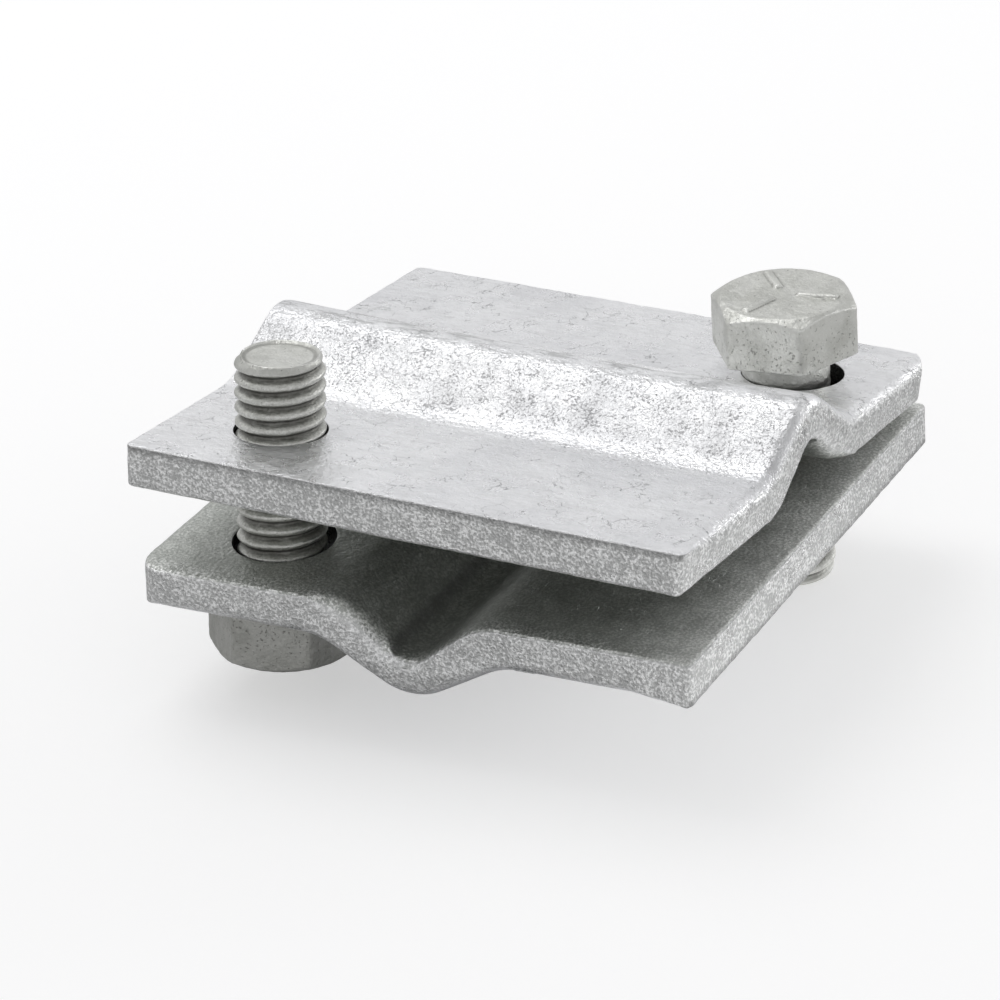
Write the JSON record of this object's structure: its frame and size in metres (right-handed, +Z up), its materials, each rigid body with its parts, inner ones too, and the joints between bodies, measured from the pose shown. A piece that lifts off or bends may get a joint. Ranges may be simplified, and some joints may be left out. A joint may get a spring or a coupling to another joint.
{
  "type": "cross clamp",
  "caption": "Galvanized steel clamp for conductors that cross at a right angle: square ridged plates, drawn together by hex bolts at opposite corners.",
  "frame": {"origin": "middle of the lower plate's clamping face, over the line of its groove", "axes": "+X to the right along the upper plate's ridge, +Y to the back along the lower plate's groove, +Z up, square to the lower plate"},
  "size_m": [0.0645, 0.0647, 0.0373],
  "materials": {
    "plate_zinc": "hot-dip galvanized, bright zinc with fine mottling",
    "bolt_zinc": "hot-dip galvanized, duller and slightly pitted zinc"
  },
  "bodies": {
    "lower_plate": {"lower_plate": "plate_zinc"},
    "upper_plate": {"upper_plate": "plate_zinc"},
    "front_bolt": {"front_bolt": "bolt_zinc"},
    "rear_bolt": {"rear_bolt": "bolt_zinc"}
  },
  "joints": [
    {"name": "plate_closing", "type": "hinge", "parent": "lower_plate", "child": "upper_plate", "pos_m": [0.00913, 0.0412, 0], "axis": [0.9763, -0.2164, 0], "range_deg": [0, 5.9]},
    {"name": "front_bolt_travel", "type": "slide", "parent": "upper_plate", "child": "front_bolt", "axis": [0.0222, 0.1004, 0.9947], "range_m": [0, 0.008]},
    {"name": "rear_bolt_travel", "type": "slide", "parent": "lower_plate", "child": "rear_bolt", "axis": [0, 0, 1], "range_m": [-0.0047, 0]}
  ],
  "couplings": [
    {"joint": "front_bolt_travel", "follows": "plate_closing", "m_per_rad": 0.0775},
    {"joint": "rear_bolt_travel", "follows": "plate_closing", "m_per_rad": -0.0455}
  ]
}
